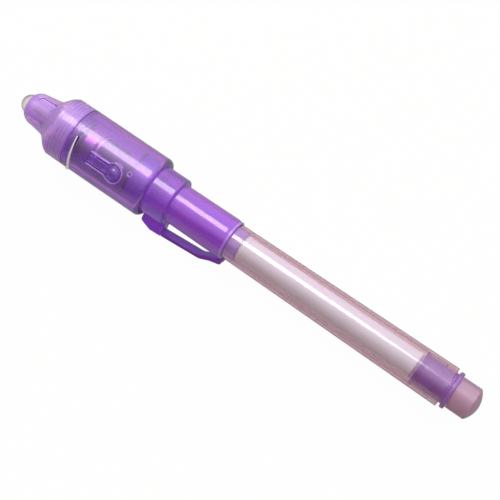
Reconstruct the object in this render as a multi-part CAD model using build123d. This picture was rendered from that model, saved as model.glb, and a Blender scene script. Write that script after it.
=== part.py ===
from build123d import *
import math
import os

# Pen with invisible ink and an ultraviolet lamp in its cap, lying along X with its tail towards +X.
# Stations along the axis count from the cap's mouth, where the barrel starts. Sizes are millimetres.

# Clearances
CAP_CLEARANCE = 0.06
SEAT_CLEARANCE = 0.05
FLEX_GAP = 0.12
SEAM_GAP = 0.10

# Angles round the axis, counted upwards from the side that faces -Y
BUTTON_ANGLE = 54.0
TAB_ANGLE = 35.0
FLUTE_ANGLE = 105.0
CRADLE_ANGLE = 122.0
CRADLE_FINGER_ANGLE = 86.0

# Barrel
BARREL_LENGTH = 60.1
BARREL_FRONT_RADIUS = 4.55
BARREL_TAIL_RADIUS = 5.08
BARREL_WALL = 0.55
BARREL_EDGE_ROUND = 0.15

# Writing section and nib
SECTION_STEP = 0.48
SECTION_PLUG_LENGTH = 2.7
SECTION_GRIP_LENGTH = 8.5
SECTION_CONE_LENGTH = 6.5
SECTION_TIP_RADIUS = 1.9
SECTION_CAVITY_RADIUS = 2.4
SECTION_SOCKET_LENGTH = 7.5
NIB_RADIUS = 1.0
NIB_REACH = 3.0
NIB_TAPER_LENGTH = 1.8
NIB_POINT_RADIUS = 0.45
NIB_IN_RESERVOIR = 3.0

# Ink reservoir
RESERVOIR_GAP = 0.2
RESERVOIR_TAIL_GAP = 0.4
RESERVOIR_SIDE_GAP = 0.75
RESERVOIR_ROUND = 0.35
WRAP_THICKNESS = 0.14
WRAP_INSET = 1.1
WRAP_CLEARANCE = 0.02

# Tail plug and tail post
PLUG_INSERT_LENGTH = 7.9
PLUG_CORE_GAP = 0.53
PLUG_WALL = 0.6
PLUG_LIP_LENGTH = 1.3
PLUG_LIP_LAND = 0.35
PLUG_FIN_SETBACK = 2.9
PLUG_FIN_THICKNESS = 0.35
PLUG_GROOVE = 0.65
PLUG_FLANGE_LENGTH = 1.15
PLUG_FLANGE_STEP = 0.3
PLUG_FLANGE_ROUND = 0.35
POST_LENGTH = 6.45
POST_DOME = 1.55
POST_SPIGOT_LENGTH = 6.0
POST_WALL = 0.6

# Cap sleeve
SLEEVE_LENGTH = 16.3
SLEEVE_MOUTH_WALL = 0.73
SLEEVE_LIP_WALL = 1.0
SLEEVE_LIP_LENGTH = 1.5
SLEEVE_ROOT_WALL = 0.9
COLLAR_LENGTH = 6.2
COLLAR_ROUND_SHARE = 0.43
COLLAR_SPIGOT_LENGTH = 5.1
COLLAR_SPIGOT_WALL = 1.2
SLEEVE_BORE_LENGTH = 15.8
NIB_WELL_RADIUS = 3.0
NIB_WELL_LENGTH = 4.7
SLEEVE_WEB = 1.4

# Pocket clip
CLIP_WIDTH = 3.0
CLIP_THICKNESS = 1.15
CLIP_EDGE_ROUND = 0.3
CLIP_ROOT_SETBACK = 0.25
CLIP_ROOT_FRONT_RISE = 2.15
CLIP_ROOT_FRONT_ROUND = 0.9
CLIP_ROOT_RISE = 3.23
CLIP_ROOT_CREST_SETBACK = 3.0
CLIP_ROOT_OVERHANG = 0.1
CLIP_ROOT_SINK = 0.45
CLIP_ARM_DROP = 0.15
CLIP_BEND_SETBACK = 5.3
CLIP_BEND_RISE = 2.87
CLIP_FOOT_SETBACK = 2.7
CLIP_FOOT_RISE = 1.75
CLIP_TIP_OVERHANG = 0.15
CLIP_TIP_RISE = 1.05
CLIP_BEND_ROUND = 3.0
CLIP_TIP_ROUND = 0.5

# Light housing
HOUSING_LENGTH = 22.6
HOUSING_RADIUS = 7.8
HOUSING_WALL = 1.55
HOUSING_REAR_ROUND = 1.15
SEAM_CHAMFER = 0.15
THREAD_LENGTH = 2.8
THREAD_WALL = 0.45
THREAD_RIDGE = 0.2
THREAD_PITCH = 0.8
THREAD_CREST_WIDTH = 0.15
THREAD_CLEARANCE = 0.06

# Button, a tongue that flexes inside a keyhole slot
BUTTON_SETBACK = 8.85
BUTTON_PAD_RADIUS = 1.95
BUTTON_NECK_WIDTH = 2.0
BUTTON_TONGUE_LENGTH = 7.25
BUTTON_SLOT = 0.5
BUTTON_DOME_RADIUS = 1.8
BUTTON_DOME_RISE = 0.75
BUTTON_BOSS_RADIUS = 0.6

# Nose cone
BAND_LENGTH = 5.1
BAND_STEP = 0.05
BAND_LEDGE = 0.12
FLARE_LENGTH = 4.1
SNOUT_LENGTH = 6.1
SNOUT_BASE_RADIUS = 4.72
SNOUT_SHOULDER_RADIUS = 4.13
SNOUT_SHOULDER_LENGTH = 2.3
SNOUT_TIP_RADIUS = 2.95
SNOUT_CROWN = 0.29
NOSE_SHELF = 1.36
NOSE_CAVITY_TAPER = 3.75
FLUTE_COUNT = 3
FLUTE_LENGTH = 5.2
FLUTE_WIDTH = 2.3
FLUTE_FLOOR_RADIUS = 3.85
FLUTE_REACH = 1.4

# Lamp, a 5 mm light-emitting diode, and its holder
LED_RADIUS = 2.5
LED_LENGTH = 8.7
LED_REACH = 2.4
LED_FLANGE_RADIUS = 2.9
LED_FLANGE_LENGTH = 1.0
LED_FLAT = 0.35
LEAD_WIDTH = 0.5
LEAD_PITCH = 2.54
LEAD_CLEARANCE = 0.06
FRAME_DEPTH = 4.0
FRAME_WIDTH = 1.1
HOLDER_BOSS_RADIUS = 3.25
HOLDER_RIM_GAP = 0.36
HOLDER_FLANGE_LENGTH = 1.25

# Button cells, each 7.9 mm across and 3.6 mm tall
CELL_COUNT = 3
CELL_RADIUS = 3.95
CELL_HEIGHT = 3.6
CELL_CAP_RADIUS = 3.25
CELL_CAP_HEIGHT = 0.35
CELL_ROUND = 0.3
CELL_SETBACK = 1.9
CRADLE_CLEARANCE = 0.1
CRADLE_RIM = 0.8
CRADLE_FINGER_WIDTH = 2.2
CRADLE_FINGER_LENGTH = 9.4
CRADLE_END_WALL = 0.6

# Switch contact strip and its leaf under the button
STRIP_THICKNESS = 0.25
STRIP_BASE_WIDTH = 0.8
STRIP_RISER_WIDTH = 2.0
LEAF_THICKNESS = 0.2
LEAF_WIDTH = 2.4
LEAF_LENGTH = 5.9
LEAF_BOSS_GAP = 0.15
LEAF_DEPTH = 0.55

# Insulating tab that keeps the lamp off until it is pulled
TAB_THICKNESS = 0.2
TAB_WIDTH = 9.7
TAB_INNER_REACH = 2.2
TAB_EDGE_DEPTH = 1.75
TAB_EDGE_SLANT = 0.75
TAB_SETBACK = 1.65
TAB_SLOT_WIDTH = 0.95
TAB_SLOT_CLEARANCE = 0.15

# Radii that follow from the sizes
BARREL_BORE = BARREL_FRONT_RADIUS - BARREL_WALL
CAP_FIT_RADIUS = BARREL_FRONT_RADIUS - SECTION_STEP
CAP_BORE = CAP_FIT_RADIUS + CAP_CLEARANCE
SLEEVE_ROOT_RADIUS = CAP_BORE + SLEEVE_ROOT_WALL
RESERVOIR_RADIUS = BARREL_BORE - RESERVOIR_SIDE_GAP
PLUG_CORE_RADIUS = BARREL_TAIL_RADIUS - BARREL_WALL - PLUG_CORE_GAP
PLUG_BORE_RADIUS = PLUG_CORE_RADIUS - PLUG_WALL
PLUG_FLANGE_RADIUS = BARREL_TAIL_RADIUS - PLUG_FLANGE_STEP
HOUSING_BORE = HOUSING_RADIUS - HOUSING_WALL
COLLAR_RADIUS = HOUSING_BORE - SEAT_CLEARANCE
COLLAR_ROUND = (COLLAR_RADIUS - SLEEVE_ROOT_RADIUS) * COLLAR_ROUND_SHARE
CLIP_ROOT_CREST = COLLAR_RADIUS + CLIP_ROOT_RISE
THREAD_ROOT_RADIUS = HOUSING_BORE + THREAD_WALL
THREAD_BORE = THREAD_ROOT_RADIUS + THREAD_RIDGE + THREAD_CLEARANCE
BAND_RADIUS = HOUSING_RADIUS - BAND_STEP
HOLDER_FLANGE_RADIUS = THREAD_BORE - HOLDER_RIM_GAP
CRADLE_BORE = CELL_RADIUS + CRADLE_CLEARANCE

# Stations that follow from the sizes
RESERVOIR_START = SECTION_PLUG_LENGTH + RESERVOIR_GAP
RESERVOIR_END = BARREL_LENGTH - PLUG_INSERT_LENGTH - RESERVOIR_TAIL_GAP
SECTION_TIP = -(SECTION_GRIP_LENGTH + SECTION_CONE_LENGTH)
FLANGE_FRONT = BARREL_LENGTH + PLUG_GROOVE
FLANGE_REAR = FLANGE_FRONT + PLUG_FLANGE_LENGTH
TAIL_END = FLANGE_REAR + POST_LENGTH
COLLAR_REAR = -SLEEVE_LENGTH
HOUSING_REAR = COLLAR_REAR - COLLAR_LENGTH
HOUSING_FRONT = HOUSING_REAR - HOUSING_LENGTH
SPIGOT_FRONT = HOUSING_REAR - COLLAR_SPIGOT_LENGTH
THREAD_FRONT = HOUSING_FRONT - THREAD_LENGTH
NOSE_REAR = HOUSING_FRONT - SEAM_GAP
BAND_FRONT = HOUSING_FRONT - BAND_LENGTH
FLARE_FRONT = BAND_FRONT - FLARE_LENGTH
NOSE_FRONT = FLARE_FRONT - SNOUT_LENGTH
LED_TIP = NOSE_FRONT - LED_REACH
LED_BASE = LED_TIP + LED_LENGTH
LED_SHOULDER = LED_BASE - LED_FLANGE_LENGTH
HOLDER_FRONT = LED_BASE + SEAT_CLEARANCE
HOLDER_REAR = THREAD_FRONT - SEAT_CLEARANCE
HOLDER_STEP = HOLDER_REAR - HOLDER_FLANGE_LENGTH
CELL_FRONT = HOUSING_FRONT + CELL_SETBACK
CELL_REAR = CELL_FRONT + CELL_COUNT * CELL_HEIGHT
CRADLE_REAR = SPIGOT_FRONT - SEAT_CLEARANCE
CRADLE_WALL_FRONT = CRADLE_REAR - CRADLE_END_WALL
BUTTON_X = HOUSING_REAR - BUTTON_SETBACK
TONGUE_ROOT = BUTTON_X - BUTTON_TONGUE_LENGTH
LEAF_TOP = HOUSING_BORE - LEAF_DEPTH
LEAF_ROOT = CRADLE_WALL_FRONT - SEAT_CLEARANCE - STRIP_THICKNESS
LEAD_OFFSET = LEAD_PITCH / 2
LEAD_RUN = -(CRADLE_BORE + LEAD_WIDTH / 2)
CLIP_ROOT_FRONT = HOUSING_REAR + CLIP_ROOT_SETBACK
CLIP_ROOT_REAR = COLLAR_REAR + CLIP_ROOT_OVERHANG
TAB_X = HOUSING_FRONT + TAB_SETBACK

# The pen rolls until an edge of its clip meets the table level with the housing
CLIP_EDGE_REACH = math.hypot(CLIP_ROOT_CREST, CLIP_WIDTH / 2)
CLIP_EDGE_ANGLE = math.degrees(math.atan2(CLIP_WIDTH / 2, CLIP_ROOT_CREST))
CLIP_ANGLE = CLIP_EDGE_ANGLE - math.degrees(math.asin(HOUSING_RADIUS / CLIP_EDGE_REACH))


def turned(*corners):
    """Solid of revolution about the axis. A corner is a station, a radius and how much it is rounded."""
    outline = FilletPolyline(
        *[(corner[0], corner[1]) for corner in corners],
        radius=[corner[2] if len(corner) > 2 else 0 for corner in corners],
        close=True,
    )
    return revolve(make_face(outline), Axis.X)


def around(shape, angle):
    """Turns a piece drawn towards +Y so that it points at an angle round the axis."""
    return Rot(180 - angle, 0, 0) * shape


def across(face, width):
    """Thickens a face drawn in X and Y equally to both sides."""
    return extrude(face, width / 2, both=True)


def outward(sketch, low, high):
    """Raises a sketch of X and width from one height above the axis to another."""
    plane = Plane(origin=(0, low, 0), x_dir=(1, 0, 0), z_dir=(0, 1, 0))
    return extrude(plane * sketch, high - low)


def strip(points, thickness, width, bends):
    """Bent strip of even thickness along points of X and Y."""
    return across(trace(FilletPolyline(*points, radius=bends), thickness), width)


def block(x_low, x_high, y_low, y_high, width):
    """Box between two stations and two heights, centred on the axis plane."""
    centre = Pos((x_low + x_high) / 2, (y_low + y_high) / 2, 0)
    return centre * Box(x_high - x_low, y_high - y_low, width)


def barrel_bore(station):
    """Radius of the barrel's tapered bore."""
    taper = (BARREL_TAIL_RADIUS - BARREL_FRONT_RADIUS) / BARREL_LENGTH
    return BARREL_BORE + taper * station


def barrel():
    return turned(
        (0, BARREL_BORE),
        (0, BARREL_FRONT_RADIUS, BARREL_EDGE_ROUND),
        (BARREL_LENGTH, BARREL_TAIL_RADIUS, BARREL_EDGE_ROUND),
        (BARREL_LENGTH, barrel_bore(BARREL_LENGTH)),
    )


def nib_section():
    plug = BARREL_BORE - SEAT_CLEARANCE
    hole = NIB_RADIUS + SEAT_CLEARANCE
    socket = SECTION_TIP + SECTION_SOCKET_LENGTH
    return turned(
        (SECTION_PLUG_LENGTH, SECTION_CAVITY_RADIUS),
        (SECTION_PLUG_LENGTH, plug),
        (-SEAT_CLEARANCE, plug),
        (-SEAT_CLEARANCE, CAP_FIT_RADIUS),
        (-SECTION_GRIP_LENGTH, CAP_FIT_RADIUS, CAP_FIT_RADIUS / 3),
        (SECTION_TIP, SECTION_TIP_RADIUS, SECTION_TIP_RADIUS / 5),
        (SECTION_TIP, hole),
        (socket, hole),
        (socket, SECTION_CAVITY_RADIUS),
    )


def nib():
    tip = SECTION_TIP - NIB_REACH
    return turned(
        (tip, 0),
        (tip, NIB_POINT_RADIUS, NIB_POINT_RADIUS * 0.6),
        (tip + NIB_TAPER_LENGTH, NIB_RADIUS),
        (RESERVOIR_START + NIB_IN_RESERVOIR, NIB_RADIUS),
        (RESERVOIR_START + NIB_IN_RESERVOIR, 0),
    )


def ink_reservoir():
    hole = NIB_RADIUS + SEAT_CLEARANCE
    hole_end = RESERVOIR_START + NIB_IN_RESERVOIR + SEAT_CLEARANCE
    return turned(
        (RESERVOIR_START, hole),
        (RESERVOIR_START, RESERVOIR_RADIUS, RESERVOIR_ROUND),
        (RESERVOIR_END, RESERVOIR_RADIUS, RESERVOIR_ROUND),
        (RESERVOIR_END, 0),
        (hole_end, 0),
        (hole_end, hole),
    )


def reservoir_wrap():
    inner = RESERVOIR_RADIUS + WRAP_CLEARANCE
    outer = inner + WRAP_THICKNESS
    front = RESERVOIR_START + WRAP_INSET
    rear = RESERVOIR_END - WRAP_INSET
    return turned((front, inner), (front, outer), (rear, outer), (rear, inner))


def tail_plug():
    front = BARREL_LENGTH - PLUG_INSERT_LENGTH
    lip = barrel_bore(front) - SEAT_CLEARANCE
    fin_front = BARREL_LENGTH - PLUG_FIN_SETBACK
    fin_rear = fin_front + PLUG_FIN_THICKNESS
    fin = barrel_bore(fin_front) - SEAT_CLEARANCE
    return turned(
        (front, PLUG_BORE_RADIUS),
        (front, lip),
        (front + PLUG_LIP_LAND, lip),
        (front + PLUG_LIP_LENGTH, PLUG_CORE_RADIUS),
        (fin_front, PLUG_CORE_RADIUS),
        (fin_front, fin),
        (fin_rear, fin),
        (fin_rear, PLUG_CORE_RADIUS),
        (FLANGE_FRONT, PLUG_CORE_RADIUS),
        (FLANGE_FRONT, PLUG_FLANGE_RADIUS, PLUG_FLANGE_ROUND),
        (FLANGE_REAR, PLUG_FLANGE_RADIUS, PLUG_FLANGE_ROUND),
        (FLANGE_REAR, PLUG_BORE_RADIUS),
    )


def tail_post():
    spigot = PLUG_BORE_RADIUS - SEAT_CLEARANCE
    hollow = spigot - POST_WALL
    front = FLANGE_REAR - POST_SPIGOT_LENGTH
    head = FLANGE_REAR + SEAT_CLEARANCE
    rim = TAIL_END - POST_DOME
    dome = (CAP_FIT_RADIUS**2 + POST_DOME**2) / (2 * POST_DOME)
    half_angle = math.asin(CAP_FIT_RADIUS / dome) / 2
    crown = (TAIL_END - dome + dome * math.cos(half_angle), dome * math.sin(half_angle))
    edges = [
        Polyline((front, hollow), (front, spigot), (head, spigot), (head, CAP_FIT_RADIUS)),
        Line((head, CAP_FIT_RADIUS), (rim, CAP_FIT_RADIUS)),
        ThreePointArc((rim, CAP_FIT_RADIUS), crown, (TAIL_END, 0)),
        Polyline((TAIL_END, 0), (TAIL_END - POST_WALL, 0), (rim, hollow), (front, hollow)),
    ]
    return revolve(make_face(edges), Axis.X)


def clip_root():
    """Post on the collar that carries the clip's arm."""
    foot = SLEEVE_ROOT_RADIUS - CLIP_ROOT_SINK
    crest = CLIP_ROOT_FRONT + CLIP_ROOT_CREST_SETBACK
    outline = FilletPolyline(
        (CLIP_ROOT_FRONT, foot),
        (CLIP_ROOT_FRONT, COLLAR_RADIUS + CLIP_ROOT_FRONT_RISE),
        (crest, CLIP_ROOT_CREST),
        (CLIP_ROOT_REAR, CLIP_ROOT_CREST - CLIP_ARM_DROP),
        (CLIP_ROOT_REAR, foot),
        radius=[0, CLIP_ROOT_FRONT_ROUND, CLIP_ROOT_FRONT_ROUND, 0, 0],
        close=True,
    )
    return around(across(make_face(outline), CLIP_WIDTH), CLIP_ANGLE)


def cap_sleeve():
    hollow = COLLAR_RADIUS - COLLAR_SPIGOT_WALL
    well_end = -SLEEVE_BORE_LENGTH - NIB_WELL_LENGTH
    web_front = well_end - SLEEVE_WEB
    body = turned(
        (-SEAT_CLEARANCE, CAP_BORE),
        (-SEAT_CLEARANCE, CAP_BORE + SLEEVE_MOUTH_WALL, BARREL_EDGE_ROUND),
        (-SLEEVE_LIP_LENGTH, CAP_BORE + SLEEVE_LIP_WALL),
        (COLLAR_REAR, SLEEVE_ROOT_RADIUS, COLLAR_ROUND / 2),
        (COLLAR_REAR, COLLAR_RADIUS, COLLAR_ROUND),
        (SPIGOT_FRONT, COLLAR_RADIUS, COLLAR_ROUND / 2),
        (SPIGOT_FRONT, hollow),
        (web_front, hollow),
        (web_front, 0),
        (well_end, 0),
        (well_end, NIB_WELL_RADIUS),
        (-SLEEVE_BORE_LENGTH, NIB_WELL_RADIUS),
        (-SLEEVE_BORE_LENGTH, CAP_BORE),
    )
    return body + clip_root()


def clip_pivot():
    """Station and height where the clip's arm flexes."""
    return CLIP_ROOT_REAR + FLEX_GAP / 2, CLIP_ROOT_CREST - CLIP_ARM_DROP - CLIP_THICKNESS / 2


def pocket_clip():
    points = [
        (CLIP_ROOT_REAR + FLEX_GAP, clip_pivot()[1]),
        (-CLIP_BEND_SETBACK, SLEEVE_ROOT_RADIUS + CLIP_BEND_RISE),
        (-CLIP_FOOT_SETBACK, SLEEVE_ROOT_RADIUS + CLIP_FOOT_RISE),
        (CLIP_TIP_OVERHANG, SLEEVE_ROOT_RADIUS + CLIP_TIP_RISE),
    ]
    arm = strip(points, CLIP_THICKNESS, CLIP_WIDTH, CLIP_BEND_ROUND)
    tip_edges = arm.edges().filter_by(Axis.Z).sort_by(Axis.X)[-2:]
    arm = fillet(tip_edges, CLIP_TIP_ROUND)
    rear_faces = arm.faces().filter_by(Axis.Z)
    arm = fillet(rear_faces.edges(), CLIP_EDGE_ROUND)
    return around(arm, CLIP_ANGLE)


def thread_ridges():
    """Ridges of the nose's thread, drawn as plain rings."""
    base = THREAD_PITCH / 2
    rings = []
    for turn in range(int((THREAD_LENGTH - base) / THREAD_PITCH) + 1):
        front = THREAD_FRONT + base / 2 + turn * THREAD_PITCH
        crest = (base - THREAD_CREST_WIDTH) / 2
        rings.append(
            turned(
                (front, HOUSING_BORE),
                (front, THREAD_ROOT_RADIUS),
                (front + crest, THREAD_ROOT_RADIUS + THREAD_RIDGE),
                (front + base - crest, THREAD_ROOT_RADIUS + THREAD_RIDGE),
                (front + base, THREAD_ROOT_RADIUS),
                (front + base, HOUSING_BORE),
            )
        )
    return rings


def keyhole(margin):
    """Outline of the button's tongue, widened by a margin."""
    neck_width = BUTTON_NECK_WIDTH + 2 * margin
    neck = Pos((TONGUE_ROOT + BUTTON_X) / 2, 0) * Rectangle(BUTTON_TONGUE_LENGTH, neck_width)
    return Pos(BUTTON_X, 0) * Circle(BUTTON_PAD_RADIUS + margin) + neck


def light_housing():
    shell = turned(
        (THREAD_FRONT, HOUSING_BORE),
        (THREAD_FRONT, THREAD_ROOT_RADIUS),
        (HOUSING_FRONT, THREAD_ROOT_RADIUS),
        (HOUSING_FRONT, HOUSING_RADIUS - SEAM_CHAMFER),
        (HOUSING_FRONT + SEAM_CHAMFER, HOUSING_RADIUS),
        (HOUSING_REAR, HOUSING_RADIUS, HOUSING_REAR_ROUND),
        (HOUSING_REAR, HOUSING_BORE),
    )
    shell = shell + thread_ridges()
    slot = outward(keyhole(BUTTON_SLOT), HOUSING_BORE / 2, HOUSING_RADIUS + BUTTON_DOME_RISE)
    shell = shell - around(slot, BUTTON_ANGLE)
    slot_front = TAB_X - TAB_THICKNESS / 2 - TAB_SLOT_CLEARANCE
    slot_span = TAB_WIDTH + 2 * TAB_SLOT_CLEARANCE
    notch = block(slot_front, slot_front + TAB_SLOT_WIDTH, 0, HOUSING_RADIUS, slot_span)
    return shell - around(notch, TAB_ANGLE)


def push_button():
    wall = turned(
        (HOUSING_FRONT, HOUSING_BORE),
        (HOUSING_FRONT, HOUSING_RADIUS),
        (HOUSING_REAR, HOUSING_RADIUS),
        (HOUSING_REAR, HOUSING_BORE),
    )
    outline = keyhole(0)
    trim = Pos(TONGUE_ROOT, 0) * Rectangle(2 * FLEX_GAP, 2 * BUTTON_NECK_WIDTH)
    tongue = wall & outward(outline - trim, 0, HOUSING_RADIUS + BUTTON_DOME_RISE)
    dome_centre = HOUSING_RADIUS + BUTTON_DOME_RISE - BUTTON_DOME_RADIUS
    dome = Pos(BUTTON_X, dome_centre, 0) * Sphere(BUTTON_DOME_RADIUS)
    inner_cut = block(HOUSING_FRONT, HOUSING_REAR, 0, dome_centre, 2 * HOUSING_RADIUS)
    boss_tip = LEAF_TOP + LEAF_BOSS_GAP + BUTTON_BOSS_RADIUS
    boss = outward(Pos(BUTTON_X, 0) * Circle(BUTTON_BOSS_RADIUS), boss_tip, dome_centre)
    boss = boss + Pos(BUTTON_X, boss_tip, 0) * Sphere(BUTTON_BOSS_RADIUS)
    return around(tongue + (dome - inner_cut) + boss, BUTTON_ANGLE)


def nose_cone():
    led_bore = LED_RADIUS + SEAT_CLEARANCE
    pocket = LED_FLANGE_RADIUS + SEAT_CLEARANCE
    seat = LED_SHOULDER - SEAT_CLEARANCE
    shelf = HOLDER_STEP - SEAT_CLEARANCE
    boss_bore = HOLDER_BOSS_RADIUS + SEAT_CLEARANCE
    shoulder = NOSE_FRONT + SNOUT_SHOULDER_LENGTH
    ledge = BAND_RADIUS - BAND_LEDGE
    crown = (NOSE_FRONT + SNOUT_SHOULDER_LENGTH * SNOUT_CROWN, (SNOUT_TIP_RADIUS + SNOUT_SHOULDER_RADIUS) / 2)
    flare = Bezier(
        (FLARE_FRONT, SNOUT_BASE_RADIUS),
        (FLARE_FRONT + FLARE_LENGTH * 0.38, SNOUT_BASE_RADIUS + BAND_LEDGE),
        (FLARE_FRONT + FLARE_LENGTH * 0.62, ledge - BAND_LEDGE),
        (BAND_FRONT, ledge),
    )
    edges = [
        Line((NOSE_FRONT, led_bore), (NOSE_FRONT, SNOUT_TIP_RADIUS)),
        ThreePointArc((NOSE_FRONT, SNOUT_TIP_RADIUS), crown, (shoulder, SNOUT_SHOULDER_RADIUS)),
        Line((shoulder, SNOUT_SHOULDER_RADIUS), (FLARE_FRONT, SNOUT_BASE_RADIUS)),
        flare,
        Polyline(
            (BAND_FRONT, ledge),
            (BAND_FRONT, BAND_RADIUS),
            (NOSE_REAR - SEAM_CHAMFER, BAND_RADIUS),
            (NOSE_REAR, BAND_RADIUS - SEAM_CHAMFER),
            (NOSE_REAR, THREAD_BORE),
            (shelf, THREAD_BORE),
            (shelf, THREAD_BORE - NOSE_SHELF),
            (shelf - NOSE_CAVITY_TAPER, boss_bore),
            (LED_BASE, boss_bore),
            (LED_BASE, pocket),
            (seat, pocket),
            (seat, led_bore),
            (NOSE_FRONT, led_bore),
        ),
    ]
    body = revolve(make_face(edges), Axis.X)
    flute_x = FLARE_FRONT + FLUTE_REACH - FLUTE_LENGTH / 2
    flute = Pos(flute_x, 0) * SlotOverall(FLUTE_LENGTH, FLUTE_WIDTH)
    cutter = outward(flute, FLUTE_FLOOR_RADIUS, BAND_RADIUS)
    for turn in range(FLUTE_COUNT):
        body = body - around(cutter, FLUTE_ANGLE + turn * 360 / FLUTE_COUNT)
    return body


def anode_lead():
    """Lead that runs down to the bottom of the cells and back along them to the switch."""
    bend = HOLDER_REAR + LEAD_WIDTH
    turn_down = HOLDER_REAR + 5 * LEAD_WIDTH
    points = [
        (LED_BASE - FRAME_DEPTH, -LEAD_OFFSET),
        (bend, -LEAD_OFFSET),
        (turn_down, LEAD_RUN),
        (LEAF_ROOT - STRIP_THICKNESS, LEAD_RUN),
    ]
    run = strip(points, LEAD_WIDTH, LEAD_WIDTH, LEAD_WIDTH)
    outer_side = -LEAD_OFFSET - LEAD_WIDTH / 2
    flag = block(LED_BASE - FRAME_DEPTH, LED_BASE - FRAME_DEPTH / 2, outer_side, -LEAD_WIDTH, LEAD_WIDTH)
    return run + flag


def cathode_lead():
    """Lead that carries the reflector cup and bends across the front cell."""
    leg_x = TAB_X - TAB_THICKNESS / 2 - LEAD_CLEARANCE - LEAD_WIDTH / 2
    points = [
        (LED_BASE - FRAME_DEPTH, LEAD_OFFSET),
        (leg_x, LEAD_OFFSET),
        (leg_x, -CELL_CAP_RADIUS / 2),
    ]
    run = strip(points, LEAD_WIDTH, LEAD_WIDTH, LEAD_WIDTH / 2)
    outer_side = LEAD_OFFSET + LEAD_WIDTH / 2
    post_low = outer_side - FRAME_WIDTH * 1.6
    post = block(LED_BASE - FRAME_DEPTH, LED_BASE - FRAME_DEPTH / 2, post_low, outer_side, LEAD_WIDTH)
    cup_front = LED_BASE - FRAME_DEPTH
    cup = Pos(0, post_low + FRAME_WIDTH / 2, 0) * turned(
        (cup_front, 0),
        (cup_front - LEAD_WIDTH / 2, FRAME_WIDTH / 3),
        (cup_front - LEAD_WIDTH / 2, FRAME_WIDTH / 2),
        (cup_front + LEAD_WIDTH, FRAME_WIDTH / 2),
        (cup_front + LEAD_WIDTH, 0),
    )
    return run + post + cup


def led_lens(leads):
    centre = LED_TIP + LED_RADIUS
    body = turned(
        (centre, 0),
        (centre, LED_RADIUS),
        (LED_SHOULDER, LED_RADIUS),
        (LED_SHOULDER, LED_FLANGE_RADIUS),
        (LED_BASE, LED_FLANGE_RADIUS),
        (LED_BASE, 0),
    )
    body = body + Pos(centre, 0, 0) * Sphere(LED_RADIUS)
    flat_height = LED_FLANGE_RADIUS - LED_FLAT
    flat = block(LED_SHOULDER, LED_BASE, flat_height, LED_FLANGE_RADIUS, 2 * LED_FLANGE_RADIUS)
    body = around(body - flat, BUTTON_ANGLE)
    for lead in leads:
        body = body - lead
    return body


def led_holder():
    body = turned(
        (HOLDER_FRONT, 0),
        (HOLDER_FRONT, HOLDER_BOSS_RADIUS),
        (HOLDER_STEP, HOLDER_BOSS_RADIUS),
        (HOLDER_STEP, HOLDER_FLANGE_RADIUS),
        (HOLDER_REAR, HOLDER_FLANGE_RADIUS),
        (HOLDER_REAR, 0),
    )
    hole = LEAD_WIDTH + 2 * LEAD_CLEARANCE
    for side in (-1, 1):
        low = side * LEAD_OFFSET - hole / 2
        body = body - block(HOLDER_FRONT, HOLDER_REAR, low, low + hole, hole)
    return around(body, BUTTON_ANGLE)


def button_cell(index):
    front = CELL_FRONT + index * CELL_HEIGHT
    return turned(
        (front, 0),
        (front, CELL_CAP_RADIUS, CELL_ROUND / 2),
        (front + CELL_CAP_HEIGHT, CELL_CAP_RADIUS),
        (front + CELL_CAP_HEIGHT, CELL_RADIUS, CELL_ROUND),
        (front + CELL_HEIGHT, CELL_RADIUS, CELL_ROUND),
        (front + CELL_HEIGHT, 0),
    )


def battery_cradle():
    """Trough on the clip's side of the cells, with a finger over the rear ones and a groove for a lead."""
    outer = HOUSING_BORE - SEAT_CLEARANCE
    ring = turned(
        (CELL_FRONT, CRADLE_BORE),
        (CELL_FRONT, outer),
        (CRADLE_REAR, outer),
        (CRADLE_REAR, 0),
        (CRADLE_WALL_FRONT, 0),
        (CRADLE_WALL_FRONT, CRADLE_BORE),
    )
    top = block(CELL_FRONT, CRADLE_WALL_FRONT, -CRADLE_RIM, HOUSING_RADIUS, 2 * HOUSING_RADIUS)
    finger_front = CRADLE_WALL_FRONT - CRADLE_FINGER_LENGTH
    finger = block(finger_front, CRADLE_WALL_FRONT, 0, HOUSING_RADIUS, CRADLE_FINGER_WIDTH)
    opening = around(top, CRADLE_ANGLE) - around(finger, CRADLE_FINGER_ANGLE)
    groove_half = LEAD_WIDTH / 2 + LEAD_CLEARANCE
    groove = block(CELL_FRONT, CRADLE_WALL_FRONT, LEAD_RUN - groove_half, 0, 2 * groove_half)
    return ring - opening - around(groove, BUTTON_ANGLE)


def switch_contact():
    """Strip that rests on the long lead, rises behind the cells and carries the leaf."""
    base_low = LEAD_RUN + LEAD_WIDTH / 2 + SEAT_CLEARANCE
    base_high = base_low + STRIP_THICKNESS
    riser_rear = LEAF_ROOT + STRIP_THICKNESS
    base = block(CELL_REAR + STRIP_THICKNESS, riser_rear, base_low, base_high, STRIP_BASE_WIDTH)
    foot = block(LEAF_ROOT, riser_rear, base_low, base_high + STRIP_RISER_WIDTH / 2, STRIP_BASE_WIDTH)
    riser = block(LEAF_ROOT, riser_rear, base_high + STRIP_THICKNESS, LEAF_TOP, STRIP_RISER_WIDTH)
    return around(base + foot + riser, BUTTON_ANGLE)


def switch_leaf():
    low = LEAF_TOP - LEAF_THICKNESS
    rear = LEAF_ROOT - FLEX_GAP / 2
    return around(block(LEAF_ROOT - LEAF_LENGTH, rear, low, LEAF_TOP, LEAF_WIDTH), BUTTON_ANGLE)


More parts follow.
